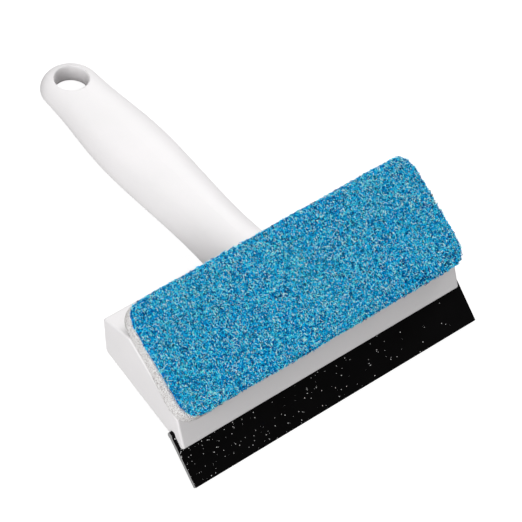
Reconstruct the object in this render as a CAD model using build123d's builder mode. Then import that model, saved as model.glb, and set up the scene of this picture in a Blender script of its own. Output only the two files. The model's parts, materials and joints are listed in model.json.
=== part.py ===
"""Hand glass cleaner: a squeegee blade and a scouring pad on one handled head.

Everything is drawn in the head frame: X along the blade, Y towards the handle, Z out of the
pad seat, with the origin at the middle of the seat. The finished pieces are then laid down as
the cleaner rests on a table, on the blade's edge and the tail of the handle, pad up.
"""

import math
import os

from build123d import *

# Head section, seen from the end: seat on top, deck sloping to the handle, blade nose in front
HEAD_LENGTH = 146.8
SEAT_FRONT = 23.0          # seat centre to the front edge of the seat
SEAT_REAR = 14.7           # seat centre to the rear edge of the seat
DECK_RUN = 12.6
DECK_DROP = 11.5
REAR_RUN = 11.6
REAR_DROP = 13.7
WALL = 2.2
RIDGE_ROUND = 1.6
SEAT_ROUND = 2.0
KEEL_ROUND = 2.4
LIP_ROUND = 0.6
END_ROUND = 0.9

# Squeegee blade and the keyhole channel that it slides in
BLADE_PROUD = 1.6          # blade past each end of the head
BLADE_THICKNESS = 1.8
BLADE_REACH = 23.3         # bead centre to the wiping edge
BLADE_PITCH = 11.0         # degrees below the seat plane
BEAD_RADIUS = 1.4
BEAD_AHEAD = 3.6           # bead centre ahead of the seat's front edge
BEAD_DROP = 9.45           # bead centre below the seat plane
CHANNEL_GAP = 0.08
LIP_REACH = 7.0
LIP_WALL = 1.6
JAW_REACH = 3.0
JAW_WALL = 0.9
NOSE_BACK = 3.2            # solid behind the bead centre

# Handle, measured along its top line from the rear ridge of the head
HANDLE_SLOPE = 32.2        # degrees below the seat plane
HANDLE_STEP = 0.6          # top line below the ridge
HANDLE_WALL = 2.4
HANDLE_FULLNESS = 0.62
HANDLE_SECTIONS = 8
HOLE_DISTANCE = 117.7
HOLE_RADIUS = 7.4
HOLE_FLARE = 2.8           # radius of the soft rim at both mouths
FLARE_ARC = 85.0           # degrees of the rim's arc
FLARE_TOP = 2.5            # start of the upper rim below the crown
FLARE_FLOOR = 1.7          # start of the lower rim above the underside
HOLE_RING = 5.9            # ring of the tail round the hole
TAIL_DEPTH = 10.4
GRIP_HALF_WIDTH = 16.6
GRIP_SETBACK = 44.7        # widest point of the grip, short of the hole
NECK_HALF_WIDTH = 13.9
NECK_PLACE = 15.3          # narrowest point, by the head
ROOT_HALF_WIDTH = 15.0
ROOT_INSIDE = 9.0          # handle carried on inside the head

# Back cover, its seat in the front shell, and its screws
COVER_THICKNESS = 2.5      # also the crown of the handle's underside below the parting plane
COVER_RIM = 1.6            # shell left outside the cover's handle strip
COVER_LEDGE = 0.9          # head panel's seat in the walls round the hollow
COVER_GAP = 0.1
COVER_WEB = 1.6            # shell left between the cover's round end and the hanging hole
RIB_THICKNESS = 1.6
RIB_SPACING = 34.0
RIB_COUNT = 4
BOSS_RADIUS = 3.6
SCREW_LENGTH = 9.0
SCREW_RADIUS = 1.5
SCREW_HEAD_RADIUS = 2.9
SCREW_HEAD_HEIGHT = 1.5
SCREW_HEAD_EDGE = 0.3
SCREW_SINK = 0.4           # screw head below the cover's surface
SCREW_POINT = 1.6
CROSS_LENGTH = 3.2
CROSS_WIDTH = 0.7
CROSS_DEPTH = 1.0
SCREW_GAP = 0.03
SCREW_INSET = 29.4         # head screws in from the ends of the head
SCREW_SETBACK = 55.7       # the handle's screw, short of the hole

# Pad: hook tape on the seat, loop backing, sponge and scouring layer
PAD_OVERHANG = 0.45        # pad past each end of the head
PAD_WIDTH = 51.8
PAD_CORNER = 8.0
TAPE_MARGIN = 2.6
TAPE_ROUND = 3.0
HOOK_THICKNESS = 1.0
TAPE_GAP = 0.3
LOOP_THICKNESS = 0.7
SPONGE_THICKNESS = 6.2
SCOURER_THICKNESS = 2.3

TAIL_SAMPLES = 400


def along(point, direction, distance):
    """Point at a distance from another in the head's section (y, z)."""
    return (point[0] + direction[0] * distance, point[1] + direction[1] * distance)


def crossing(point_a, direction_a, point_b, direction_b):
    """Where two lines of the section meet."""
    turn = direction_a[0] * direction_b[1] - direction_a[1] * direction_b[0]
    gap = (point_b[0] - point_a[0], point_b[1] - point_a[1])
    return along(point_a, direction_a, (gap[0] * direction_b[1] - gap[1] * direction_b[0]) / turn)


# Sizes that follow from others
blade_length = HEAD_LENGTH + 2 * BLADE_PROUD
pad_length = HEAD_LENGTH + 2 * PAD_OVERHANG
screw_span = HEAD_LENGTH - 2 * SCREW_INSET
tail_half_width = HOLE_RADIUS + HOLE_RING
grip_place = HOLE_DISTANCE - GRIP_SETBACK
screw_place = HOLE_DISTANCE - SCREW_SETBACK
cover_end = HOLE_DISTANCE - HOLE_RADIUS - COVER_WEB - (GRIP_HALF_WIDTH - COVER_RIM)

# Corners of the head's section, as (y, z)
pitch = math.radians(BLADE_PITCH)
blade_out = (-math.cos(pitch), -math.sin(pitch))
blade_up = (-math.sin(pitch), math.cos(pitch))
bead = (-SEAT_FRONT - BEAD_AHEAD, -BEAD_DROP)
half_slot = BLADE_THICKNESS / 2 + CHANNEL_GAP
slot_bead_radius = BEAD_RADIUS + CHANNEL_GAP
ridge = (SEAT_REAR + DECK_RUN, -DECK_DROP)
keel = (ridge[0] - REAR_RUN, ridge[1] - REAR_DROP)
seat_rear = (SEAT_REAR, 0)
seat_front = (-SEAT_FRONT, 0)
lip_end = along(bead, blade_out, LIP_REACH)
lip_top = along(lip_end, blade_up, half_slot + LIP_WALL)
lip_bottom = along(lip_end, blade_up, half_slot)
jaw_tip = along(along(bead, blade_out, JAW_REACH), blade_up, -half_slot - JAW_WALL)
jaw_root = along(bead, blade_up, -slot_bead_radius - JAW_WALL)
under_angle = math.atan2(jaw_root[1] - keel[1], keel[0] - jaw_root[0])
under_out = (math.cos(under_angle), -math.sin(under_angle))
under_up = (math.sin(under_angle), math.cos(under_angle))
head_corners = [ridge, seat_rear, seat_front, lip_top, lip_bottom, jaw_tip, jaw_root, keel]

# Handle line: its top starts just under the ridge, its underside starts at the keel
slope = math.radians(HANDLE_SLOPE)
handle_out = (math.cos(slope), -math.sin(slope))
handle_up = (math.sin(slope), math.cos(slope))
handle_root = along(ridge, handle_up, -HANDLE_STEP)
keel_distance = (keel[0] - handle_root[0]) * handle_out[0] + (keel[1] - handle_root[1]) * handle_out[1]
keel_depth = (handle_root[0] - keel[0]) * handle_up[0] + (handle_root[1] - keel[1]) * handle_up[1]
stations = [
    (-ROOT_INSIDE, ROOT_HALF_WIDTH),
    (NECK_PLACE, NECK_HALF_WIDTH),
    (grip_place, GRIP_HALF_WIDTH),
    (HOLE_DISTANCE, tail_half_width),
]


def handle_depth(distance):
    """Depth of the handle below its top line."""
    share = (distance - keel_distance) / (HOLE_DISTANCE - keel_distance)
    return keel_depth + (TAIL_DEPTH - keel_depth) * share


def handle_plane(distance):
    """Plane across the handle, with its own Y up from the top line."""
    y, z = along(handle_root, handle_out, distance)
    return Plane(origin=(0, y, z), x_dir=(1, 0, 0), z_dir=(0, -handle_out[0], -handle_out[1]))


def quarter(width, parting, crown):
    """Rounded quarter of the handle's section, from its side to its crown."""
    rise = (crown - parting) * HANDLE_FULLNESS
    return Bezier((width, parting), (width, parting + rise), (width * HANDLE_FULLNESS, crown), (0, crown))


def handle_section(distance, half_width):
    """Whole section of the handle at a station: arched top and shallow belly."""
    depth = handle_depth(distance)
    with BuildSketch(handle_plane(distance)) as section:
        with BuildLine():
            quarter(half_width, COVER_THICKNESS - depth, 0)
            quarter(-half_width, COVER_THICKNESS - depth, 0)
            quarter(half_width, COVER_THICKNESS - depth, -depth)
            quarter(-half_width, COVER_THICKNESS - depth, -depth)
        make_face()
    return section.sketch


def hollow_section(distance, half_width):
    """Section of the handle's hollow, open downwards at the parting plane."""
    parting = COVER_THICKNESS - handle_depth(distance)
    with BuildSketch(handle_plane(distance)) as section:
        with BuildLine():
            quarter(half_width - HANDLE_WALL, parting, -HANDLE_WALL)
            quarter(HANDLE_WALL - half_width, parting, -HANDLE_WALL)
            Line((half_width - HANDLE_WALL, parting), (HANDLE_WALL - half_width, parting))
        make_face()
    return section.sketch


def cover_section(distance, half_width, gap):
    """Section of the space that the cover takes, from the parting plane down."""
    depth = handle_depth(distance)
    with BuildSketch(handle_plane(distance)) as section:
        with Locations((0, COVER_THICKNESS - depth)):
            Rectangle(
                2 * (half_width - COVER_RIM - gap),
                2 * COVER_THICKNESS,
                align=(Align.CENTER, Align.MAX),
            )
    return section.sketch


def half_width_at(distance):
    """Half width of the handle between two stations."""
    for (near, near_width), (far, far_width) in zip(stations, stations[1:]):
        if near <= distance <= far:
            share = (distance - near) / (far - near)
            smooth = share * share * (3 - 2 * share)
            return near_width + (far_width - near_width) * smooth
    raise ValueError("the distance lies off the handle")


def handle_stretch(section_of, end):
    """Lofts one kind of section from inside the head to a distance along the handle."""
    start = stations[0][0]
    step = (end - start) / HANDLE_SECTIONS
    distances = [start + step * i for i in range(HANDLE_SECTIONS + 1)]
    return loft([section_of(d, half_width_at(d)) for d in distances], mode=Mode.PRIVATE)


def cover_region(gap):
    """Space of the cover's handle strip, with a round end near the hanging hole."""
    end = cover_end
    plane = handle_plane(end)
    parting = plane.from_local_coords(Vector(0, COVER_THICKNESS - handle_depth(end), 0))
    with BuildPart() as region:
        add(handle_stretch(lambda d, w: cover_section(d, w, gap), end))
        with BuildSketch(Plane(origin=parting, x_dir=(1, 0, 0), z_dir=-plane.y_dir)):
            Circle(half_width_at(end) - COVER_RIM - gap)
        extrude(amount=2 * COVER_THICKNESS)
    return region.part


def head_bar(corners, length):
    """Straight bar along X with a section given by its corners."""
    with BuildPart() as bar:
        with BuildSketch(Plane.YZ):
            with BuildLine():
                Polyline(*corners, close=True)
            make_face()
        extrude(amount=length / 2, both=True)
    return bar.part


def round_bar(plane, radius, length):
    """Cylinder that rises from a plane."""
    with BuildPart() as bar:
        with BuildSketch(plane):
            Circle(radius)
        extrude(amount=length)
    return bar.part


# Inner corners of the head: walls all round, open below as far as the solid nose
nose_back = bead[0] + NOSE_BACK
deck_length = math.hypot(DECK_RUN, DECK_DROP)
deck_out = (DECK_RUN / deck_length, -DECK_DROP / deck_length)
rear_length = math.hypot(REAR_RUN, REAR_DROP)
rear_out = (-REAR_RUN / rear_length, -REAR_DROP / rear_length)
inner_deck = along(seat_rear, (deck_out[1], -deck_out[0]), WALL)
inner_rear = along(ridge, (rear_out[1], -rear_out[0]), WALL)
cover_top = along(keel, under_up, COVER_THICKNESS)
below_cover = along(keel, under_up, -COVER_THICKNESS)
hollow_corners = [
    crossing(inner_deck, deck_out, inner_rear, rear_out),
    crossing((0, -WALL), (1, 0), inner_deck, deck_out),
    (nose_back, -WALL),
    crossing((nose_back, 0), (0, 1), cover_top, under_out),
    crossing(inner_rear, rear_out, cover_top, under_out),
]
hollow_length = HEAD_LENGTH - 2 * WALL


def cover_corners(gap):
    """Section of the cover's head panel, or of the seat that is cut for it."""
    front = (nose_back - COVER_LEDGE + gap, 0)
    rear = along(inner_rear, (rear_out[1], -rear_out[0]), gap - COVER_LEDGE)
    return [
        crossing(front, (0, 1), cover_top, under_out),
        crossing(rear, rear_out, cover_top, under_out),
        crossing(rear, rear_out, below_cover, under_out),
        crossing(front, (0, 1), below_cover, under_out),
    ]


# Screw places: planes on the outside of the cover, with Z pointing into the shell
panel_middle = ((nose_back + keel[0]) / 2, 0)
head_screw = crossing(panel_middle, (0, 1), keel, under_out)
grip_screw = along(handle_root, handle_out, screw_place)
grip_screw = along(grip_screw, handle_up, -handle_depth(screw_place))
screw_planes = [
    Plane(origin=(x, *point), x_dir=(1, 0, 0), z_dir=(0, *up))
    for x, point, up in (
        (-screw_span / 2, head_screw, under_up),
        (screw_span / 2, head_screw, under_up),
        (0, grip_screw, handle_up),
    )
]


def screw_body(gap):
    """Countersunk screw along its own Z, or the space cut for one."""
    shank = SCREW_RADIUS + gap
    rim = SCREW_HEAD_RADIUS + gap
    top = SCREW_SINK if gap == 0 else -SCREW_SINK
    edge = SCREW_SINK + SCREW_HEAD_EDGE
    neck = SCREW_SINK + SCREW_HEAD_HEIGHT
    with BuildPart() as body:
        with BuildSketch(Plane.XZ):
            with BuildLine():
                Polyline(
                    (0, top),
                    (rim, top),
                    (rim, edge),
                    (shank, neck),
                    (shank, SCREW_LENGTH - SCREW_POINT),
                    (0, SCREW_LENGTH + gap),
                    close=True,
                )
            make_face()
        revolve(axis=Axis.Z)
    return body.part


def blade_section(gap):
    """Section of the blade, or of the keyhole channel that it slides in."""
    plane = Plane(origin=(0, *bead), x_dir=(0, *blade_out), z_dir=(-1, 0, 0))
    with BuildSketch(plane) as section:
        Circle(BEAD_RADIUS + gap)
        Rectangle(BLADE_REACH, BLADE_THICKNESS + 2 * gap, align=(Align.MIN, Align.CENTER))
    return section.sketch


# Hanging hole, square to the handle's top line
hole_top = along(handle_root, handle_out, HOLE_DISTANCE)
hole_axis = Axis((0, *hole_top), (0, *handle_up))


def hole_space():
    """Round space of the hanging hole, flared at both mouths."""
    lift = FLARE_TOP
    floor = TAIL_DEPTH + lift
    flare_middle = HOLE_RADIUS + HOLE_FLARE
    with BuildPart() as space:
        with BuildSketch(handle_plane(HOLE_DISTANCE)):
            with BuildLine():
                upper = CenterArc((flare_middle, -FLARE_TOP), HOLE_FLARE, 180, -FLARE_ARC)
                lower = CenterArc((flare_middle, FLARE_FLOOR - TAIL_DEPTH), HOLE_FLARE, 180, FLARE_ARC)
                Line(upper @ 0, lower @ 0)
                mouth = (upper @ 1).X
                Polyline(upper @ 1, (mouth, lift), (0, lift), (0, -floor), (mouth, -floor), lower @ 1)
            make_face()
        revolve(axis=hole_axis)
    return space.part


# Outer body: the head's prism, the handle and its round tail
with BuildPart() as outer_body:
    with BuildSketch(Plane.YZ) as head_face:
        with BuildLine():
            Polyline(*head_corners, close=True)
        make_face()
        for corner, radius in (
            (ridge, RIDGE_ROUND),
            (seat_rear, SEAT_ROUND),
            (seat_front, SEAT_ROUND),
            (lip_top, LIP_ROUND),
            (keel, KEEL_ROUND),
        ):
            fillet(head_face.vertices().sort_by_distance(Vector(*corner))[0], radius)
    extrude(amount=HEAD_LENGTH / 2, both=True)
    end_faces = outer_body.faces().sort_by(Axis.X)
    end_edges = [
        edge
        for face in (end_faces[0], end_faces[-1])
        for edge in face.edges()
        if edge.center().Y > nose_back or edge.center().Z > lip_top[1] + LIP_ROUND
    ]
    fillet(end_edges, END_ROUND)
    add(handle_stretch(handle_section, HOLE_DISTANCE))
    with BuildSketch(handle_plane(HOLE_DISTANCE)):
        with BuildLine():
            quarter(tail_half_width, COVER_THICKNESS - TAIL_DEPTH, 0)
            quarter(tail_half_width, COVER_THICKNESS - TAIL_DEPTH, -TAIL_DEPTH)
            Line((0, 0), (0, -TAIL_DEPTH))
        make_face()
    revolve(axis=hole_axis, revolution_arc=180)
    add(hole_space(), mode=Mode.SUBTRACT)

# Hollow of the shell, above the cover
with BuildPart() as hollow:
    add(head_bar(hollow_corners, hollow_length))
    add(handle_stretch(hollow_section, cover_end))

# Ribs and screw bosses that stand in the hollow and carry the cover
with BuildPart() as inner_frame:
    with Locations(*[(RIB_SPACING * (i - (RIB_COUNT - 1) / 2), 0, 0) for i in range(RIB_COUNT)]):
        add(head_bar(hollow_corners, RIB_THICKNESS))
    for plane in screw_planes:
        add(round_bar(plane, BOSS_RADIUS, DECK_DROP + REAR_DROP))
    add(hollow.part, mode=Mode.INTERSECT)

# Front shell: seat, deck, lip and channel, handle and hanging hole, open underneath
with BuildPart() as front_shell:
    add(outer_body.part)
    add(hollow.part, mode=Mode.SUBTRACT)
    add(head_bar(cover_corners(0), hollow_length + 2 * COVER_LEDGE), mode=Mode.SUBTRACT)
    add(cover_region(0), mode=Mode.SUBTRACT)
    add(inner_frame.part)
    extrude(blade_section(CHANNEL_GAP), amount=HEAD_LENGTH, both=True, mode=Mode.SUBTRACT)
    for plane in screw_planes:
        add(plane.location * screw_body(SCREW_GAP), mode=Mode.SUBTRACT)
front_shell.part.label = "front_shell"

# Back cover: head panel and handle strip in one, flush with the outside of the shell
with BuildPart() as back_cover:
    add(head_bar(cover_corners(COVER_GAP), hollow_length + 2 * (COVER_LEDGE - COVER_GAP)))
    add(cover_region(COVER_GAP))
    add(outer_body.part, mode=Mode.INTERSECT)
    for plane in screw_planes:
        add(plane.location * screw_body(SCREW_GAP), mode=Mode.SUBTRACT)
back_cover.part.label = "back_cover"

# Three cross-head screws, one in the handle and two in the head
with BuildPart() as cover_screws:
    for plane in screw_planes:
        add(plane.location * screw_body(0))
        with BuildSketch(plane.offset(SCREW_SINK)):
            Rectangle(CROSS_LENGTH, CROSS_WIDTH)
            Rectangle(CROSS_WIDTH, CROSS_LENGTH)
        extrude(amount=CROSS_DEPTH, mode=Mode.SUBTRACT)
cover_screws.part.label = "cover_screws"

# Rubber blade with its bead in the channel
with BuildPart() as squeegee_blade:
    extrude(blade_section(0), amount=blade_length / 2, both=True)
squeegee_blade.part.label = "squeegee_blade"

# Hook tape stuck to the seat
with BuildPart() as hook_tape:
    with BuildSketch(Plane.XY):
        with Locations((0, (SEAT_REAR - SEAT_FRONT) / 2)):
            Rectangle(
                HEAD_LENGTH - 2 * TAPE_MARGIN,
                SEAT_REAR + SEAT_FRONT - 2 * TAPE_MARGIN,
            )
        fillet(vertices(), TAPE_ROUND)
    extrude(amount=HOOK_THICKNESS)
hook_tape.part.label = "hook_tape"


def pad_layer(bottom, thickness):
    """One layer of the pad, with the pad's round corners."""
    with BuildPart() as layer:
        with BuildSketch(Plane.XY.offset(bottom)):
            RectangleRounded(pad_length, PAD_WIDTH, PAD_CORNER)
        extrude(amount=thickness)
    return layer.part


# Pad: loop backing, sponge and scouring layer, bonded in one piece
loop_bottom = HOOK_THICKNESS + TAPE_GAP
sponge_bottom = loop_bottom + LOOP_THICKNESS
scourer_bottom = sponge_bottom + SPONGE_THICKNESS
with BuildPart() as loop_backing:
    add(pad_layer(loop_bottom, LOOP_THICKNESS))
loop_backing.part.label = "loop_backing"

with BuildPart() as sponge_body:
    add(pad_layer(sponge_bottom, SPONGE_THICKNESS))
sponge_body.part.label = "sponge_body"

with BuildPart() as scouring_layer:
    add(pad_layer(scourer_bottom, SCOURER_THICKNESS))
scouring_layer.part.label = "scouring_layer"

# Resting place: the blade's lower edge and the lowest point of the tail on one level
tip = along(along(bead, blade_out, BLADE_REACH), blade_up, -BLADE_THICKNESS / 2)
tail_curve = quarter(tail_half_width, COVER_THICKNESS - TAIL_DEPTH, -TAIL_DEPTH)
tail_points = []
for i in range(TAIL_SAMPLES + 1):
    point = tail_curve @ (i / TAIL_SAMPLES)
    tail_points.append(along(along(hole_top, handle_out, point.X), handle_up, point.Y))
lean_angle = max(math.atan2(tip[1] - z, y - tip[0]) for y, z in tail_points)
lean = Rot(X=math.degrees(lean_angle))

pieces = [
    front_shell,
    back_cover,
    cover_screws,
    squeegee_blade,
    hook_tape,
    loop_backing,
    sponge_body,
    scouring_layer,
]
boxes = [(lean * piece.part).bounding_box() for piece in pieces]
middle = (min(box.min.Y for box in boxes) + max(box.max.Y for box in boxes)) / 2
lowest = min(box.min.Z for box in boxes)
laid_down = Pos(Y=-middle, Z=-lowest) * lean

os.makedirs("parts", exist_ok=True)
for piece in pieces:
    export_step(laid_down * piece.part, "parts/" + piece.part.label + ".step")
    print(piece.part.label, piece.part.is_valid, round(piece.part.volume, 1), len(piece.part.solids()))
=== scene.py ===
import json
import math

import bmesh
import bpy
import numpy as np
from mathutils import Matrix, Vector, noise


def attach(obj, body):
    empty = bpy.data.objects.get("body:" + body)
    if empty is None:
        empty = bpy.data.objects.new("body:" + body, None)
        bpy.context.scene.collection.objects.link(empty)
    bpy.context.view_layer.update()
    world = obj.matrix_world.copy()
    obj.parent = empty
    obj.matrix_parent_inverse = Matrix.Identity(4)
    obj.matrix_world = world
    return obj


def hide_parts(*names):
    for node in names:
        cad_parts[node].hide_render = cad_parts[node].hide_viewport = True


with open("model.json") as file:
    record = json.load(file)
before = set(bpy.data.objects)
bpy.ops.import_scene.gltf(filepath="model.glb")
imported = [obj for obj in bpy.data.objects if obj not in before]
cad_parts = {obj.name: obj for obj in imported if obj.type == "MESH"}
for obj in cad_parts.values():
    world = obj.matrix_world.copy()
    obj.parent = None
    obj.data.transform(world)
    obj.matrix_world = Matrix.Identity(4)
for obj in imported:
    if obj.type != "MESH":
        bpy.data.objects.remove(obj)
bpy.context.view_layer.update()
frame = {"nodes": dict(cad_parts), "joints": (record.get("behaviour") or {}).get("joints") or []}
nodes = frame["nodes"]
scene = bpy.context.scene
print("frame loaded:", ", ".join(sorted(nodes)))

# The pad's own directions: across the head, from the blade to the handle, out of the seat
liftAxis = next(j["axis"] for j in frame["joints"] if j["name"] == "pad_lift")
padUp = Vector(liftAxis).normalized()
padAcross = Vector((1, 0, 0))
padAlong = padUp.cross(padAcross)
padTurn = Matrix((padAcross, padAlong, padUp)).transposed()
mm = 0.001


def addObject(name, mesh):
    piece = bpy.data.objects.new(name, mesh)
    scene.collection.objects.link(piece)
    return piece


def slabOf(node):
    # low and high corner of a pad node, measured along the pad's own directions
    points = [padTurn.transposed() @ v.co for v in nodes[node].data.vertices]
    low = Vector([min(p[i] for p in points) for i in range(3)])
    high = Vector([max(p[i] for p in points) for i in range(3)])
    return low, high


def smoothStep(value, low, high):
    share = min(max((value - low) / (high - low), 0.0), 1.0)
    return share * share * (3 - 2 * share)


def roundOutline(halfX, halfY, corner, steps):
    points = []
    for quarter in range(4):
        centreX = (halfX - corner) * (1 if quarter in (0, 3) else -1)
        centreY = (halfY - corner) * (1 if quarter in (0, 1) else -1)
        for i in range(steps + 1):
            angle = math.pi / 2 * (quarter + i / steps)
            points.append((centreX + corner * math.cos(angle), centreY + corner * math.sin(angle)))
    return points


def slabMesh(name, low, high, corner):
    # closed slab with round corners, in the pad's own directions
    centre = (low + high) / 2
    half = (high - low) / 2
    outline = roundOutline(half.x, half.y, corner, 10)
    form = bmesh.new()
    rings = []
    for z in (low.z, high.z):
        rings.append([form.verts.new((centre.x + x, centre.y + y, z)) for x, y in outline])
    count = len(outline)
    for i in range(count):
        j = (i + 1) % count
        form.faces.new((rings[0][i], rings[0][j], rings[1][j], rings[1][i]))
    form.faces.new(list(reversed(rings[0])))
    form.faces.new(rings[1])
    bmesh.ops.remove_doubles(form, verts=form.verts, dist=1e-6)
    bmesh.ops.recalc_face_normals(form, faces=form.faces)
    mesh = bpy.data.meshes.new(name)
    form.to_mesh(mesh)
    form.free()
    return mesh


def applyModifiers(piece):
    graph = bpy.context.evaluated_depsgraph_get()
    mesh = bpy.data.meshes.new_from_object(piece.evaluated_get(graph), depsgraph=graph)
    piece.modifiers.clear()
    piece.data = mesh


def remesh(piece, voxel):
    step = piece.modifiers.new("remesh", "REMESH")
    step.mode = "VOXEL"
    step.voxel_size = voxel
    step.use_smooth_shade = True
    applyModifiers(piece)


def readPoints(mesh):
    co = np.zeros(len(mesh.vertices) * 3)
    mesh.vertices.foreach_get("co", co)
    return co.reshape(-1, 3)


def writePoints(mesh, co):
    mesh.vertices.foreach_set("co", co.ravel())
    mesh.update()


def shadeSmooth(mesh):
    mesh.polygons.foreach_set("use_smooth", [True] * len(mesh.polygons))


def addNode(tree, kind, inputs=None, **settings):
    node = tree.nodes.new(kind)
    for key, value in settings.items():
        setattr(node, key, value)
    for key, value in (inputs or {}).items():
        if isinstance(value, bpy.types.NodeSocket):
            tree.links.new(value, node.inputs[key])
        else:
            node.inputs[key].default_value = value
    return node


def addMath(tree, operation, first, second):
    return addNode(tree, "ShaderNodeMath", {0: first, 1: second}, operation=operation).outputs[0]


def addNoise(tree, place, scale, detail):
    node = addNode(tree, "ShaderNodeTexNoise", {"Vector": place, "Scale": scale, "Detail": detail})
    return node.outputs["Fac"]


def makeGroup(name, kind, inputs, outputs):
    # node group with named sockets; returns the tree and its two ends
    tree = bpy.data.node_groups.new(name, kind)
    for label, socketType, value in inputs:
        made = tree.interface.new_socket(name=label, in_out="INPUT", socket_type=socketType)
        if value is not None:
            made.default_value = value
    for label, socketType in outputs:
        tree.interface.new_socket(name=label, in_out="OUTPUT", socket_type=socketType)
    return tree, tree.nodes.new("NodeGroupInput").outputs, tree.nodes.new("NodeGroupOutput").inputs


def growFrom(host, tree, values, name, material):
    # runs a geometry tree on a host mesh once and keeps what it makes as a plain piece
    step = host.modifiers.new("grow", "NODES")
    step.node_group = tree
    for item in tree.interface.items_tree:
        if item.item_type == "SOCKET" and item.in_out == "INPUT" and item.name in values:
            step[item.identifier] = values[item.name]
    graph = bpy.context.evaluated_depsgraph_get()
    mesh = bpy.data.meshes.new_from_object(
        host.evaluated_get(graph), preserve_all_data_layers=True, depsgraph=graph
    )
    host.modifiers.clear()
    mesh.name = name
    mesh.materials.clear()
    mesh.materials.append(material)
    return addObject(name, mesh)


def makeGrain():
    # fine moulded or cast grain: a height for bump and a slow mottle for tone
    tree, given, out = makeGroup(
        "mouldedGrain",
        "ShaderNodeTree",
        [("Grain Scale", "NodeSocketFloat", 1500.0), ("Mottle Scale", "NodeSocketFloat", 60.0)],
        [("Height", "NodeSocketFloat"), ("Mottle", "NodeSocketFloat")],
    )
    place = addNode(tree, "ShaderNodeTexCoord").outputs["Object"]
    fine = addNoise(tree, place, given["Grain Scale"], 3.0)
    slow = addNoise(tree, place, given["Mottle Scale"], 4.0)
    tree.links.new(fine, out["Height"])
    tree.links.new(slow, out["Mottle"])
    return tree


def makeWeave():
    # plain weave of a knitted or woven backing
    tree, given, out = makeGroup(
        "plainWeave",
        "ShaderNodeTree",
        [("Thread Scale", "NodeSocketFloat", 900.0)],
        [("Height", "NodeSocketFloat")],
    )
    place = addNode(tree, "ShaderNodeTexCoord").outputs["Object"]
    waves = [
        addNode(
            tree,
            "ShaderNodeTexWave",
            {"Vector": place, "Scale": given["Thread Scale"], "Distortion": 0.4},
            bands_direction=direction,
        ).outputs["Fac"]
        for direction in ("X", "Y")
    ]
    tree.links.new(addMath(tree, "MULTIPLY", waves[0], waves[1]), out["Height"])
    return tree


def makePores():
    # open cells of a foam: pale ribs, with painted shade darkening the pores between them
    tree, given, out = makeGroup(
        "foamPores",
        "ShaderNodeTree",
        [("Cell Scale", "NodeSocketFloat", 1400.0)],
        [("Pore Shade", "NodeSocketFloat"), ("Height", "NodeSocketFloat")],
    )
    place = addNode(tree, "ShaderNodeTexCoord").outputs["Object"]
    cells = addNode(tree, "ShaderNodeTexVoronoi", {"Vector": place, "Scale": given["Cell Scale"]})
    fine = addNoise(tree, place, given["Cell Scale"], 4.0)
    # this mask places the painted shade inside the pores
    poreShade = addNode(tree, "ShaderNodeMapRange", {"Value": fine, "From Min": 0.48, "From Max": 0.62})
    tree.links.new(poreShade.outputs["Result"], out["Pore Shade"])
    tree.links.new(cells.outputs["Distance"], out["Height"])
    return tree


grainGroup = makeGrain()
weaveGroup = makeWeave()
poreGroup = makePores()


def useGroup(tree, group, **values):
    node = addNode(tree, "ShaderNodeGroup", node_tree=group)
    for key, value in values.items():
        node.inputs[key].default_value = value
    return node.outputs


def startMaterial(name, **settings):
    # material with a Principled shader whose plain values sit on its own sockets
    material = bpy.data.materials.new(name)
    material.use_nodes = True
    tree = material.node_tree
    tree.nodes.clear()
    shader = addNode(tree, "ShaderNodeBsdfPrincipled")
    out = addNode(tree, "ShaderNodeOutputMaterial")
    tree.links.new(shader.outputs[0], out.inputs["Surface"])
    for key, value in settings.items():
        shader.inputs[key.replace("_", " ")].default_value = value
    return material, tree, shader


def addBump(tree, shader, height, strength, distance):
    inputs = {"Height": height, "Strength": strength, "Distance": distance}
    bump = addNode(tree, "ShaderNodeBump", inputs)
    tree.links.new(bump.outputs["Normal"], shader.inputs["Normal"])


def mixTone(tree, factor, dark, light):
    ramp = addNode(tree, "ShaderNodeValToRGB", {"Fac": factor})
    ramp.color_ramp.elements[0].position = 0.3
    ramp.color_ramp.elements[1].position = 0.7
    ramp.color_ramp.elements[0].color = (*dark, 1)
    ramp.color_ramp.elements[1].color = (*light, 1)
    return ramp.outputs["Color"]


shellLook = {
    "dark": (0.84, 0.825, 0.83),
    "light": (0.87, 0.85, 0.857),
    "roughness": 0.42,
    "grain": 1800.0,
}
coverLook = {
    "dark": (0.82, 0.81, 0.82),
    "light": (0.85, 0.84, 0.85),
    "roughness": 0.5,
    "grain": 1300.0,
}


def makePlastic(name, look):
    material, tree, shader = startMaterial(name, Roughness=look["roughness"], IOR=1.46)
    grain = useGroup(tree, grainGroup, **{"Grain Scale": look["grain"], "Mottle Scale": 45.0})
    tone = mixTone(tree, grain["Mottle"], look["dark"], look["light"])
    tree.links.new(tone, shader.inputs["Base Color"])
    least, most = look["roughness"] - 0.04, look["roughness"] + 0.05
    rough = addNode(
        tree, "ShaderNodeMapRange", {"Value": grain["Mottle"], "To Min": least, "To Max": most}
    )
    tree.links.new(rough.outputs["Result"], shader.inputs["Roughness"])
    addBump(tree, shader, grain["Height"], 0.06, 0.0002)
    return material


shellPlastic = makePlastic("whiteShellPlastic", shellLook)
coverPlastic = makePlastic("whiteCoverPlastic", coverLook)


steelLook = {
    "dark": (0.5, 0.5, 0.51),
    "light": (0.66, 0.66, 0.67),
    "roughness": 0.3,
    "grain": 5000.0,
    "mottle": 700.0,
}


def makeSteel():
    look = steelLook
    material, tree, shader = startMaterial("screwSteel", Metallic=1.0, Roughness=look["roughness"])
    scales = {"Grain Scale": look["grain"], "Mottle Scale": look["mottle"]}
    grain = useGroup(tree, grainGroup, **scales)
    tone = mixTone(tree, grain["Mottle"], look["dark"], look["light"])
    tree.links.new(tone, shader.inputs["Base Color"])
    addBump(tree, shader, grain["Height"], 0.15, 0.0001)
    return material


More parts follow.
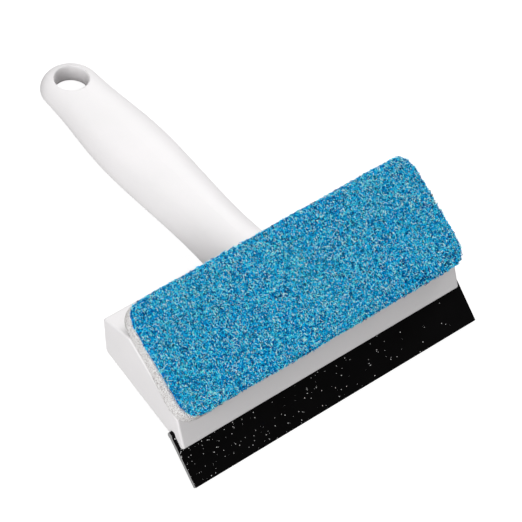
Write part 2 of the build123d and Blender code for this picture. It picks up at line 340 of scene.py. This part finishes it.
rubberLook = {
    "face": (0.0014, 0.0013, 0.0014),
    "worn": 1.6,               # how much paler its rubbed patches are
    "cut": (0.32, 0.32, 0.32),
    "roughness": 0.55,
    "specular": 0.05,
}


def makeRubber():
    # black rubber, with the paler, drier look of its two cut ends
    look = rubberLook
    material, tree, shader = startMaterial(
        "blackRubber", Roughness=look["roughness"], Specular_IOR_Level=look["specular"]
    )
    grain = useGroup(tree, grainGroup, **{"Grain Scale": 2600.0, "Mottle Scale": 90.0})
    worn = [c * look["worn"] for c in look["face"]]
    body = mixTone(tree, grain["Mottle"], look["face"], worn)
    normal = addNode(tree, "ShaderNodeTexCoord").outputs["Normal"]
    across = addNode(tree, "ShaderNodeSeparateXYZ", {0: normal}).outputs["X"]
    end = addNode(tree, "ShaderNodeMath", {0: across}, operation="ABSOLUTE").outputs[0]
    mask = addNode(tree, "ShaderNodeMapRange", {"Value": end, "From Min": 0.9, "From Max": 0.95})
    mixed = addNode(tree, "ShaderNodeMix", data_type="RGBA")
    tree.links.new(mask.outputs["Result"], mixed.inputs["Factor"])
    tree.links.new(body, mixed.inputs[6])
    mixed.inputs[7].default_value = (*look["cut"], 1)
    tree.links.new(mixed.outputs[2], shader.inputs["Base Color"])
    addBump(tree, shader, grain["Height"], 0.1, 0.0002)
    return material


dustLook = {"dark": (0.75, 0.75, 0.75), "light": (0.95, 0.95, 0.94), "roughness": 0.9}


def makeDust():
    material, tree, shader = startMaterial("paleDust", Roughness=dustLook["roughness"])
    grain = useGroup(tree, grainGroup, **{"Grain Scale": 4000.0, "Mottle Scale": 400.0})
    tone = mixTone(tree, grain["Mottle"], dustLook["dark"], dustLook["light"])
    tree.links.new(tone, shader.inputs["Base Color"])
    return material


tapeLook = {"dark": (0.66, 0.66, 0.64), "light": (0.82, 0.82, 0.8), "threads": 700.0}
backingLook = {"dark": (0.62, 0.62, 0.6), "light": (0.82, 0.82, 0.79), "threads": 500.0}


def makeCloth(name, look):
    material, tree, shader = startMaterial(name, Roughness=0.85, Sheen_Weight=0.2)
    weave = useGroup(tree, weaveGroup, **{"Thread Scale": look["threads"]})
    tone = mixTone(tree, weave["Height"], look["dark"], look["light"])
    tree.links.new(tone, shader.inputs["Base Color"])
    addBump(tree, shader, weave["Height"], 0.5, 0.0003)
    return material


foamLook = {
    "rib": (0.97, 0.96, 0.955),
    # rib is the foam's own white; the pore colour below is painted shade inside the open cells
    "poreShade": (0.45, 0.41, 0.4),
    "cells": 2200.0,
    "roughness": 0.95,
}


def makeFoam():
    material, tree, shader = startMaterial("whiteFoam", Roughness=foamLook["roughness"])
    pores = useGroup(tree, poreGroup, **{"Cell Scale": foamLook["cells"]})
    # the ramp runs from the foam's own white to the painted pore shade
    tone = addNode(tree, "ShaderNodeValToRGB", {"Fac": pores["Pore Shade"]})
    tone.color_ramp.elements[0].color = (*foamLook["rib"], 1)
    tone.color_ramp.elements[1].color = (*foamLook["poreShade"], 1)
    tree.links.new(tone.outputs["Color"], shader.inputs["Base Color"])
    addBump(tree, shader, pores["Height"], 0.8, 0.0006)
    return material


fibreTones = [  # place along the spread of fibres, then colour
    (0.0, (0.0, 0.004, 0.03)),
    (0.17, (0.0, 0.1, 0.4)),
    (0.3, (0.0, 0.5, 1.0)),
    (0.6, (0.0, 0.66, 1.0)),
    (0.75, (0.12, 0.97, 1.0)),
    (1.0, (0.8, 1.0, 1.0)),
]
fibreLook = {
    "roughness": 0.6,
    "specular": 0.08,
    "fadeScale": 38.0,
    "fade": 0.35,
    "fadeTint": (0.05, 0.3, 0.1),
}


def makeFibre():
    # blue nylon fibres, each with its own tone, faded to teal in patches
    material, tree, shader = startMaterial(
        "blueFibre", Roughness=fibreLook["roughness"], Specular_IOR_Level=fibreLook["specular"]
    )
    tone = addNode(tree, "ShaderNodeAttribute", attribute_name="tone").outputs["Fac"]
    ramp = addNode(tree, "ShaderNodeValToRGB", {"Fac": tone})
    stops = ramp.color_ramp.elements
    while len(stops) < len(fibreTones):
        stops.new(0.5)
    for stop, (position, colour) in zip(stops, fibreTones):
        stop.position = position
        stop.color = (*colour, 1)
    grain = useGroup(tree, grainGroup, **{"Mottle Scale": fibreLook["fadeScale"]})
    patch = addNode(
        tree,
        "ShaderNodeMapRange",
        {"Value": grain["Mottle"], "From Min": 0.42, "From Max": 0.62, "To Max": fibreLook["fade"]},
    ).outputs["Result"]
    faded = addNode(tree, "ShaderNodeMix", data_type="RGBA", blend_type="SCREEN")
    tree.links.new(patch, faded.inputs["Factor"])
    tree.links.new(ramp.outputs["Color"], faded.inputs[6])
    faded.inputs[7].default_value = (*fibreLook["fadeTint"], 1)
    tree.links.new(faded.outputs[2], shader.inputs["Base Color"])
    return material


# partly the felt's own blue, partly painted shade: these blues are darker than the loose fibres to
# stand for shade deep in the pad
shadedFeltLook = {
    "dark": (0.002, 0.05, 0.25),
    "light": (0.01, 0.3, 0.8),
    "flecks": 1600.0,
    "roughness": 0.8,
    "specular": 0.05,
}


def makeShadedFelt():
    # bonded mass of fibre under the loose ones: nylon blue with random flecks, darkened as painted
    # shade deep among the fibres
    look = shadedFeltLook
    material, tree, shader = startMaterial(
        "shadedBlueFelt", Roughness=look["roughness"], Specular_IOR_Level=look["specular"]
    )
    place = addNode(tree, "ShaderNodeTexCoord").outputs["Object"]
    fleck = addNoise(tree, place, look["flecks"], 3.0)
    tree.links.new(mixTone(tree, fleck, look["dark"], look["light"]), shader.inputs["Base Color"])
    addBump(tree, shader, fleck, 1.0, 0.0005)
    return material


screwSteel = makeSteel()
blackRubber = makeRubber()
paleDust = makeDust()
tapeNylon = makeCloth("tapeNylon", tapeLook)
backingCloth = makeCloth("backingCloth", backingLook)
whiteFoam = makeFoam()
blueFibre = makeFibre()
shadedBlueFelt = makeShadedFelt()
print("materials made")


# hard pieces keep their shape and take their finish
for node, material in (
    ("front_shell", shellPlastic),
    ("back_cover", coverPlastic),
    ("cover_screws", screwSteel),
    ("squeegee_blade", blackRubber),
):
    nodes[node].data.materials.clear()
    nodes[node].data.materials.append(material)
print("hard pieces finished")


def randomValue(tree, dataType, low, high, seed):
    node = addNode(tree, "FunctionNodeRandomValue", data_type=dataType)
    sockets = {"FLOAT": (2, 3), "FLOAT_VECTOR": (0, 1), "INT": (4, 5)}[dataType]
    node.inputs[sockets[0]].default_value = low
    node.inputs[sockets[1]].default_value = high
    node.inputs["Seed"].default_value = seed
    return node.outputs[{"FLOAT": 1, "FLOAT_VECTOR": 0, "INT": 2}[dataType]]


def bentStrand(tree, start, startHandle, endHandle, end, steps, sides, radius):
    # one bent strand as a closed tube; radius is a socket or a number
    line = addNode(
        tree,
        "GeometryNodeCurvePrimitiveBezierSegment",
        {
            "Start": start,
            "Start Handle": startHandle,
            "End Handle": endHandle,
            "End": end,
            "Resolution": steps,
        },
    )
    ring = addNode(
        tree, "GeometryNodeCurvePrimitiveCircle", {"Resolution": sides, "Radius": radius}
    )
    tube = addNode(
        tree,
        "GeometryNodeCurveToMesh",
        {"Curve": line.outputs[0], "Profile Curve": ring.outputs[0], "Fill Caps": True},
    )
    return tube.outputs[0]


def finishTree(tree, shapes, points, turn, scale, out, material, seed):
    # instances the shapes on the points, gives each a tone, and makes them real
    joined = addNode(tree, "GeometryNodeJoinGeometry")
    for shape in shapes:
        smooth = addNode(tree, "GeometryNodeSetShadeSmooth", {"Geometry": shape})
        kept = addNode(tree, "GeometryNodeGeometryToInstance")
        tree.links.new(smooth.outputs[0], kept.inputs[0])
        tree.links.new(kept.outputs[0], joined.inputs[0])
    placed = addNode(
        tree,
        "GeometryNodeInstanceOnPoints",
        {
            "Points": points,
            "Instance": joined.outputs[0],
            "Pick Instance": True,
            "Instance Index": randomValue(tree, "INT", 0, len(shapes) - 1, seed),
            "Rotation": turn,
            "Scale": scale,
        },
    )
    toned = addNode(
        tree,
        "GeometryNodeStoreNamedAttribute",
        {"Geometry": placed.outputs[0], "Name": "tone"},
        data_type="FLOAT",
        domain="INSTANCE",
    )
    tree.links.new(randomValue(tree, "FLOAT", 0.0, 1.0, 91), toned.inputs["Value"])
    real = addNode(tree, "GeometryNodeRealizeInstances", {"Geometry": toned.outputs[0]})
    painted = addNode(
        tree, "GeometryNodeSetMaterial", {"Geometry": real.outputs[0], "Material": material}
    )
    tree.links.new(painted.outputs[0], out["Geometry"])


def facingTest(tree, given, least):
    # chooses the faces that look the given way
    normal = addNode(tree, "GeometryNodeInputNormal").outputs[0]
    facing = addNode(
        tree, "ShaderNodeVectorMath", {0: normal, 1: given["Facing"]}, operation="DOT_PRODUCT"
    )
    chosen = addNode(
        tree,
        "FunctionNodeCompare",
        {0: facing.outputs["Value"], 1: least},
        data_type="FLOAT",
        operation="GREATER_THAN",
    )
    return chosen.outputs[0]


def strewPoints(tree, given, chosen):
    return addNode(
        tree,
        "GeometryNodeDistributePointsOnFaces",
        {
            "Mesh": given["Geometry"],
            "Selection": chosen,
            "Density": given["Density"],
            "Seed": given["Seed"],
        },
    ).outputs


def threadRadius(tree, given, size):
    # a shape is drawn one unit long and scaled up, so its thread is thinned to suit
    return addMath(tree, "MULTIPLY", addMath(tree, "DIVIDE", given["Thickness"], given[size]), 0.5)


def scatterTurn(tree, normalTurn, tilt, seed):
    # turn about the surface normal, with a small random tilt
    angles = randomValue(tree, "FLOAT_VECTOR", (-tilt, -tilt, 0), (tilt, tilt, 2 * math.pi), seed)
    spin = addNode(tree, "FunctionNodeEulerToRotation", {0: angles})
    turned = addNode(
        tree,
        "FunctionNodeRotateRotation",
        {"Rotation": normalTurn, "Rotate By": spin.outputs[0]},
        rotation_space="LOCAL",
    )
    return turned.outputs[0]


def makeStrandTree(name, steps):
    # bent fibres strewn over the faces that look the given way
    tree, given, out = makeGroup(
        name,
        "GeometryNodeTree",
        [
            ("Geometry", "NodeSocketGeometry", None),
            ("Facing", "NodeSocketVector", (0, 0, 1)),
            ("Least Facing", "NodeSocketFloat", 0.0),
            ("Density", "NodeSocketFloat", 1000.0),
            ("Length", "NodeSocketFloat", 0.003),
            ("Thickness", "NodeSocketFloat", 0.00012),
            ("Lift", "NodeSocketFloat", 0.0005),
            ("Seed", "NodeSocketInt", 1),
            ("Material", "NodeSocketMaterial", None),
        ],
        [("Geometry", "NodeSocketGeometry")],
    )
    points = strewPoints(tree, given, facingTest(tree, given, given["Least Facing"]))
    radius = threadRadius(tree, given, "Length")
    bends = (
        ((-0.5, 0, 0), (-0.2, 0.22, 0.1), (0.2, 0.2, 0.06), (0.5, 0, 0)),
        ((-0.5, 0, 0), (-0.15, -0.3, 0.05), (0.15, 0.3, 0.12), (0.5, 0.05, 0.0)),
        ((-0.35, -0.1, 0), (-0.3, 0.4, 0.1), (0.3, 0.4, 0.1), (0.35, -0.1, 0.02)),
    )
    shapes = [bentStrand(tree, *bend, steps, 3, radius) for bend in bends]
    size = randomValue(tree, "FLOAT", 0.55, 1.35, 17)
    scale = addMath(tree, "MULTIPLY", size, given["Length"])
    turn = scatterTurn(tree, points["Rotation"], 0.22, 23)
    height = addMath(tree, "MULTIPLY", randomValue(tree, "FLOAT", 0.0, 1.0, 29), given["Lift"])
    rise = addNode(
        tree, "ShaderNodeVectorMath", {0: points["Normal"], "Scale": height}, operation="SCALE"
    )
    lifted = addNode(
        tree, "GeometryNodeSetPosition", {"Geometry": points["Points"], "Offset": rise.outputs[0]}
    )
    finishTree(tree, shapes, lifted.outputs[0], turn, scale, out, given["Material"], 31)
    return tree


def makeLoopTree():
    # small closed loops of thread standing on the faces that look the given way
    tree, given, out = makeGroup(
        "standingLoops",
        "GeometryNodeTree",
        [
            ("Geometry", "NodeSocketGeometry", None),
            ("Facing", "NodeSocketVector", (0, 0, -1)),
            ("Density", "NodeSocketFloat", 1000.0),
            ("Height", "NodeSocketFloat", 0.0003),
            ("Thickness", "NodeSocketFloat", 0.00008),
            ("Seed", "NodeSocketInt", 1),
            ("Material", "NodeSocketMaterial", None),
        ],
        [("Geometry", "NodeSocketGeometry")],
    )
    points = strewPoints(tree, given, facingTest(tree, given, 0.8))
    radius = threadRadius(tree, given, "Height")
    bends = (
        ((-0.8, 0, 0), (-1.1, 0.1, 1.2), (1.1, -0.1, 1.2), (0.8, 0, 0)),
        ((-0.5, 0, 0), (-1.2, 0.4, 1.1), (0.9, -0.4, 1.2), (0.4, 0.2, 0)),
    )
    shapes = [bentStrand(tree, *bend, 6, 3, radius) for bend in bends]
    turn = scatterTurn(tree, points["Rotation"], 0.2, 41)
    finishTree(tree, shapes, points["Points"], turn, given["Height"], out, given["Material"], 43)
    return tree


def makeHookTree():
    # one moulded hook on every point of the host mesh, each leaning one way or the other at random
    tree, given, out = makeGroup(
        "hookRows",
        "GeometryNodeTree",
        [
            ("Geometry", "NodeSocketGeometry", None),
            ("Height", "NodeSocketFloat", 0.0006),
            ("Thickness", "NodeSocketFloat", 0.0002),
            ("Lean", "NodeSocketVector", (0, 0, 0)),
            ("Material", "NodeSocketMaterial", None),
        ],
        [("Geometry", "NodeSocketGeometry")],
    )
    radius = threadRadius(tree, given, "Height")
    bends = (
        ((0, 0, 0), (-0.1, 0, 1.25), (0.75, 0, 1.15), (0.6, 0, 0.45)),
        ((0, 0, 0), (0.1, 0, 1.25), (-0.75, 0, 1.15), (-0.6, 0, 0.45)),
    )
    shapes = [bentStrand(tree, *bend, 5, 4, radius) for bend in bends]
    turn = addNode(tree, "FunctionNodeEulerToRotation", {0: given["Lean"]}).outputs[0]
    points = addNode(tree, "GeometryNodeMeshToPoints", {"Mesh": given["Geometry"]}).outputs[0]
    finishTree(tree, shapes, points, turn, given["Height"], out, given["Material"], 53)
    return tree


def makeFlakeTree():
    # one small rounded flake on every point of the host mesh
    tree, given, out = makeGroup(
        "settledDust",
        "GeometryNodeTree",
        [
            ("Geometry", "NodeSocketGeometry", None),
            ("Size", "NodeSocketFloat", 0.0003),
            ("Lean", "NodeSocketVector", (0, 0, 0)),
            ("Material", "NodeSocketMaterial", None),
        ],
        [("Geometry", "NodeSocketGeometry")],
    )
    flake = addNode(tree, "GeometryNodeMeshIcoSphere", {"Radius": 0.5, "Subdivisions": 2})
    flat = addNode(
        tree, "GeometryNodeTransform", {"Geometry": flake.outputs[0], "Scale": (1.0, 0.85, 0.5)}
    )
    size = randomValue(tree, "FLOAT", 0.35, 1.5, 61)
    scale = addMath(tree, "MULTIPLY", size, given["Size"])
    turn = addNode(tree, "FunctionNodeEulerToRotation", {0: given["Lean"]}).outputs[0]
    points = addNode(tree, "GeometryNodeMeshToPoints", {"Mesh": given["Geometry"]}).outputs[0]
    finishTree(tree, [flat.outputs[0]], points, turn, scale, out, given["Material"], 71)
    return tree


longStrandTree = makeStrandTree("longStrands", 4)
shortStrandTree = makeStrandTree("shortStrands", 2)
loopTree = makeLoopTree()
hookTree = makeHookTree()
flakeTree = makeFlakeTree()
print("geometry trees made")


padShape = {"corner": 8 * mm}
foamShape = {
    "voxel": 1.5 * mm,
    "startIn": 0.3 * mm,      # the foam starts this much inside its place, then swells
    "most": 1.6 * mm,         # how far a point may move
    "pressure": 4.0,
    "frames": 20,
    "spread": 1.6 * mm,       # how far the near end spreads over its length
    "flare": 1.9 * mm,        # how much more its worn corner spreads
    "flareReach": 30 * mm,
    "flareCentre": 20 * mm,
    "endReach": 10 * mm,      # length of the near end that spreads
    "pitDepth": 0.16 * mm,
    "pitScale": 1100,
}


def bulge(piece, freeWeight, settings):
    # cloth with pressure: the free points swell, the pinned ones hold the flat faces
    pinned = piece.vertex_groups.new(name="pinned")
    for index, weight in enumerate(freeWeight):
        pinned.add([index], 1.0 - weight, "REPLACE")
    before = readPoints(piece.data)
    step = piece.modifiers.new("cloth", "CLOTH")
    step.settings.use_pressure = True
    step.settings.uniform_pressure_force = settings["pressure"]
    step.settings.effector_weights.gravity = 0
    step.settings.vertex_group_mass = "pinned"
    step.settings.tension_stiffness = 30
    step.settings.compression_stiffness = 30
    step.settings.bending_stiffness = 5
    step.collision_settings.use_collision = False
    for number in range(1, settings["frames"] + 1):
        scene.frame_set(number)
    applyModifiers(piece)
    scene.frame_set(1)
    after = readPoints(piece.data)
    move = after - before
    far = np.linalg.norm(move, axis=1, keepdims=True)
    move *= np.minimum(1.0, settings["most"] / np.maximum(far, 1e-9))
    writePoints(piece.data, before + move)
    piece.vertex_groups.clear()


def makeFoamBody():
    low, high = slabOf("sponge_body")
    inset = Vector((foamShape["startIn"], foamShape["startIn"], 0))
    mesh = slabMesh("foamBody", low + inset, high - inset, padShape["corner"])
    piece = addObject("foamBody", mesh)
    remesh(piece, foamShape["voxel"])
    middle = (low.z + high.z) / 2
    half = (high.z - low.z) / 2
    co = readPoints(piece.data)
    sideShare = 1 - np.abs(co[:, 2] - middle) / half
    free = np.clip(sideShare * 1.4, 0, 1)
    bulge(piece, free.tolist(), foamShape)
    co = readPoints(piece.data)
    # the near end spreads towards the seat, most at its worn front corner
    lower = 0.45 + 0.55 * np.clip((high.z - co[:, 2]) / (high.z - low.z), 0, 1)
    nearEnd = np.clip(1 - (co[:, 0] - low.x) / foamShape["endReach"], 0, 1)
    towardBlade = 0.25 + 0.75 * (high.y - co[:, 1]) / (high.y - low.y)
    co[:, 0] -= nearEnd * lower * towardBlade * foamShape["spread"]
    corner = np.array([low.x, low.y])
    gap = np.linalg.norm(co[:, :2] - corner, axis=1)
    share = np.clip(1 - gap / foamShape["flareReach"], 0, 1) ** 1.2
    outward = co[:, :2] - (corner + foamShape["flareCentre"])
    outward /= np.maximum(np.linalg.norm(outward, axis=1, keepdims=True), 1e-9)
    co[:, :2] += outward * (share * lower * foamShape["flare"])[:, None]
    writePoints(piece.data, co)
    finer = piece.modifiers.new("finer", "SUBSURF")
    finer.levels = finer.render_levels = 1
    applyModifiers(piece)
    co = readPoints(piece.data)
    for index, point in enumerate(co):  # open cells show as pits along the cut sides
        pit = noise.noise(Vector(point) * foamShape["pitScale"]) * foamShape["pitDepth"]
        side = 1 - abs(point[2] - middle) / half
        if side > 0.04:
            centre = Vector((point[0] * 0.9, point[1] * 0.7, point[2]))
            away = Vector(point) - centre
            away.normalize()
            co[index] = point + np.array(away) * pit
    writePoints(piece.data, co)
    piece.data.transform(padTurn.to_4x4())
    shadeSmooth(piece.data)
    piece.data.materials.clear()
    piece.data.materials.append(whiteFoam)
    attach(piece, "pad")
    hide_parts("sponge_body")
    return piece


makeFoamBody()
print("foam body made")


scourShape = {
    "voxel": 1.1 * mm,
    "belowTop": 0.75 * mm,     # room left for the loose fibres
    "edgeWave": 0.45 * mm,
    "edgeFray": 0.15 * mm,
    "edgeDrop": 0.35 * mm,     # the rim dips a little
    "topWave": 0.12 * mm,
    "waveScale": 70,
    "frayScale": 420,
    "nearEndIn": 0.6 * mm,     # the near end stops short of the foam
}
strandRows = {  # tree, length, thickness, strands per square metre, least facing, lift, seed
    "scourStrandsDeep": (shortStrandTree, 1.0 * mm, 0.29 * mm, 1500000, 0.2, 0.3 * mm, 3),
    "scourStrandsLow": (shortStrandTree, 0.85 * mm, 0.28 * mm, 1500000, 0.2, 0.4 * mm, 5),
    "scourStrandsMid": (shortStrandTree, 0.75 * mm, 0.27 * mm, 1500000, 0.2, 0.5 * mm, 7),
    "scourStrandsLong": (longStrandTree, 1.8 * mm, 0.18 * mm, 250000, 0.2, 0.6 * mm, 9),
    "scourStrandsSide": (longStrandTree, 1.3 * mm, 0.2 * mm, 650000, -0.25, 0.3 * mm, 15),
}


def makeScouringLayer():
    low, high = slabOf("scouring_layer")
    top = high - Vector((0, 0, scourShape["belowTop"]))
    piece = addObject("scouringFelt", slabMesh("scouringFelt", low, top, padShape["corner"]))
    remesh(piece, scourShape["voxel"])
    co = readPoints(piece.data)
    centre = (low + high) / 2
    for index, point in enumerate(co):
        across = abs(point[0]) / (high.x - centre.x)
        along = abs(point[1] - centre.y) / (high.y - centre.y)
        edge = max(across, along)
        waveScale = scourShape["waveScale"]
        wave = noise.noise(Vector((point[0] * waveScale, point[1] * waveScale, 3.0)))
        fine = noise.noise(Vector(point) * scourShape["frayScale"])
        share = smoothStep(edge, 0.9, 1.0)
        sideX = 1 if point[0] > 0 else -1
        sideY = 1 if point[1] > centre.y else -1
        fray = wave * scourShape["edgeWave"] + fine * scourShape["edgeFray"]
        co[index][0] += fray * share * sideX
        co[index][1] += (wave * 0.6 * scourShape["edgeWave"]) * share * sideY
        co[index][0] += smoothStep(-point[0] / high.x, 0.85, 1.0) * scourShape["nearEndIn"]
        if point[2] > centre.z:
            dip = smoothStep(edge, 0.93, 1.02) * scourShape["edgeDrop"]
            co[index][2] += fine * scourShape["topWave"] - dip
    writePoints(piece.data, co)
    piece.data.transform(padTurn.to_4x4())
    shadeSmooth(piece.data)
    piece.data.materials.clear()
    piece.data.materials.append(shadedBlueFelt)
    strands = []
    for name, (tree, length, thickness, density, facing, lift, seed) in strandRows.items():
        values = {
            "Facing": tuple(padUp),
            "Least Facing": facing,
            "Density": density,
            "Length": length,
            "Thickness": thickness,
            "Lift": lift,
            "Seed": seed,
            "Material": blueFibre,
        }
        strands.append(growFrom(piece, tree, values, name, blueFibre))
    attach(piece, "pad")
    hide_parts("scouring_layer")
    for strand in strands:
        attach(strand, "pad")
        print(strand.name, len(strand.data.polygons), "faces")


makeScouringLayer()
print("scouring layer made")


loopShape = {
    "inset": 0.6 * mm,
    "height": 0.28 * mm,
    "thickness": 0.07 * mm,
    "density": 560000,
    "seed": 11,
}


def makeLoopBacking():
    low, high = slabOf("loop_backing")
    inset = Vector((loopShape["inset"], loopShape["inset"], 0))
    base = low + inset + Vector((0, 0, loopShape["height"]))
    piece = addObject("loopCloth", slabMesh("loopCloth", base, high - inset, padShape["corner"]))
    piece.data.transform(padTurn.to_4x4())
    piece.data.materials.append(backingCloth)
    values = {
        "Facing": tuple(-padUp),
        "Density": loopShape["density"],
        "Height": loopShape["height"],
        "Thickness": loopShape["thickness"],
        "Seed": loopShape["seed"],
        "Material": backingCloth,
    }
    loops = growFrom(piece, loopTree, values, "loopPile", backingCloth)
    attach(piece, "pad")
    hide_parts("loop_backing")
    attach(loops, "pad")
    print("loopPile", len(loops.data.polygons), "faces")


makeLoopBacking()
print("loop backing made")


hookShape = {
    "base": 0.35 * mm,
    "corner": 3 * mm,
    "thickness": 0.2 * mm,
    "pitch": 1.7 * mm,
    "rowPitch": 1.6 * mm,
    "edge": 1.2 * mm,
    "cornerClear": 2 * mm,     # hooks this far round each corner's centre
    "fill": 0.94,              # hook height as a share of the room above the base
}


def makeHookTape():
    low, high = slabOf("hook_tape")
    top = Vector((high.x, high.y, low.z + hookShape["base"]))
    base = addObject("hookTapeBase", slabMesh("hookTapeBase", low, top, hookShape["corner"]))
    base.data.transform(padTurn.to_4x4())
    base.data.materials.append(tapeNylon)
    points = []
    middle = (low.y + high.y) / 2
    rows = int((high.y - low.y - 2 * hookShape["edge"]) / hookShape["rowPitch"])
    columns = int((high.x - low.x - 2 * hookShape["edge"]) / hookShape["pitch"])
    for row in range(rows + 1):
        y = low.y + hookShape["edge"] + row * hookShape["rowPitch"]
        for column in range(columns + 1):
            x = low.x + hookShape["edge"] + column * hookShape["pitch"]
            cornerX = max(abs(x) - (high.x - hookShape["corner"]), 0)
            cornerY = max(abs(y - middle) - (high.y - middle - hookShape["corner"]), 0)
            if math.hypot(cornerX, cornerY) < hookShape["cornerClear"]:
                points.append(padTurn @ Vector((x, y, top.z)))
    mesh = bpy.data.meshes.new("hookPlaces")
    mesh.from_pydata(points, [], [])
    host = addObject("hookPlaces", mesh)
    height = (high.z - top.z) * hookShape["fill"]
    values = {
        "Height": height,
        "Thickness": hookShape["thickness"],
        "Lean": tuple(padTurn.to_euler()),
        "Material": tapeNylon,
    }
    hooks = growFrom(host, hookTree, values, "hookTapeHooks", tapeNylon)
    bpy.data.objects.remove(host)
    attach(base, "head")
    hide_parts("hook_tape")
    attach(hooks, "head")
    print("hookTapeHooks", len(hooks.data.polygons), "faces")


makeHookTape()
print("hook tape made")


dustShape = {"size": 0.3 * mm, "count": 240, "crowding": 1.1, "seed": 13}


def spreadOnTop(mesh, settings):
    # random places on the broad upper face, thicker towards the near end
    broad = max(mesh.polygons, key=lambda face: face.area if face.normal.z > 0 else 0).normal.copy()
    faces = [face for face in mesh.polygons if face.normal.dot(broad) > 0.999]
    corners = np.array([[mesh.vertices[i].co[:] for i in face.vertices[:3]] for face in faces])
    areas = np.array([face.area for face in faces])
    ends = corners[:, :, 0].min(), corners[:, :, 0].max()
    draw = np.random.default_rng(settings["seed"])
    places = []
    while len(places) < settings["count"]:
        face = corners[draw.choice(len(faces), p=areas / areas.sum())]
        u, v, keep = draw.random(3)
        if u + v > 1:
            u, v = 1 - u, 1 - v
        place = face[0] + u * (face[1] - face[0]) + v * (face[2] - face[0])
        share = (ends[1] - place[0]) / (ends[1] - ends[0])
        if keep < share ** settings["crowding"]:
            places.append(place.tolist())
    return places, broad


def makeBladeDust():
    places, up = spreadOnTop(nodes["squeegee_blade"].data, dustShape)
    mesh = bpy.data.meshes.new("dustPlaces")
    mesh.from_pydata(places, [], [])
    host = addObject("dustPlaces", mesh)
    values = {
        "Size": dustShape["size"],
        "Lean": tuple(up.to_track_quat("Z", "Y").to_euler()),
        "Material": paleDust,
    }
    dust = growFrom(host, flakeTree, values, "bladeDust", paleDust)
    bpy.data.objects.remove(host)
    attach(dust, "blade")
    print("bladeDust", len(dust.data.polygons), "faces")


makeBladeDust()
print("blade dust made")


studio = {
    "floor": (0.2, 0.195, 0.195),
    "floorGlow": 0.92,
    "world": (1.0, 1.0, 1.0),
    "worldStrength": 0.34,
    "lampAim": (0, 0, 0.02),
    "floorHalf": 2.5,
}
lamps = {  # size, power, place
    "topLight": (1.2, 2.5, (0.1, 0.55, 1.25)),
    "leftLight": (0.9, 13.5, (-1.2, -0.38, 0.52)),
    "rightLight": (0.9, 12.5, (0.9, 0.5, 0.9)),
}


def makeFloor():
    form = bmesh.new()
    bmesh.ops.create_grid(form, x_segments=8, y_segments=8, size=studio["floorHalf"])
    mesh = bpy.data.meshes.new("floor")
    form.to_mesh(mesh)
    form.free()
    floor = addObject("floor", mesh)
    material, tree, shader = startMaterial("paleFloor", Roughness=0.8)
    shader.inputs["Base Color"].default_value = (*studio["floor"], 1)
    shader.inputs["Emission Color"].default_value = (1, 1, 1, 1)
    seen = addNode(tree, "ShaderNodeLightPath").outputs["Is Camera Ray"]
    glow = addMath(tree, "MULTIPLY", seen, studio["floorGlow"])
    tree.links.new(glow, shader.inputs["Emission Strength"])
    mesh.materials.append(material)


def makeLights():
    world = bpy.data.worlds.new("studioWorld")
    scene.world = world
    world.use_nodes = True
    tree = world.node_tree
    back = tree.nodes["Background"]
    back.inputs["Color"].default_value = (*studio["world"], 1)
    seen = addNode(tree, "ShaderNodeLightPath").outputs["Is Camera Ray"]
    strength = addNode(
        tree,
        "ShaderNodeMapRange",
        {"Value": seen, "To Min": studio["worldStrength"], "To Max": 1.0},
    )
    tree.links.new(strength.outputs["Result"], back.inputs["Strength"])
    for name, (size, power, place) in lamps.items():
        lamp = bpy.data.lights.new(name, "AREA")
        lamp.shape = "SQUARE"
        lamp.size = size
        lamp.energy = power
        light = bpy.data.objects.new(name, lamp)
        scene.collection.objects.link(light)
        light.location = place
        toward = Vector(studio["lampAim"]) - light.location
        light.rotation_euler = toward.to_track_quat("-Z", "Y").to_euler()


view = {
    "aim": (-0.0084, -0.0460, 0.0436),
    "distance": 1.2494,
    "azimuth": 52.18,      # degrees from the front, towards the near end of the head
    "elevation": 53.95,
    "roll": 16.7,
    "lens": 214.6,
}


def makeCamera():
    azimuth = math.radians(view["azimuth"])
    elevation = math.radians(view["elevation"])
    away = Vector(
        (
            -math.sin(azimuth) * math.cos(elevation),
            -math.cos(azimuth) * math.cos(elevation),
            math.sin(elevation),
        )
    )
    lens = bpy.data.cameras.new("camera")
    lens.lens = view["lens"]
    lens.sensor_width = 36
    lens.clip_end = 20
    camera = bpy.data.objects.new("camera", lens)
    scene.collection.objects.link(camera)
    level = away.to_track_quat("Z", "Y").to_matrix()
    roll = Matrix.Rotation(math.radians(view["roll"]), 3, "Z")
    place = Matrix.Translation(Vector(view["aim"]) + away * view["distance"])
    camera.matrix_world = place @ (level @ roll).to_4x4()
    scene.camera = camera


makeFloor()
makeLights()
makeCamera()
scene.view_settings.view_transform = "Standard"
print("stage set")
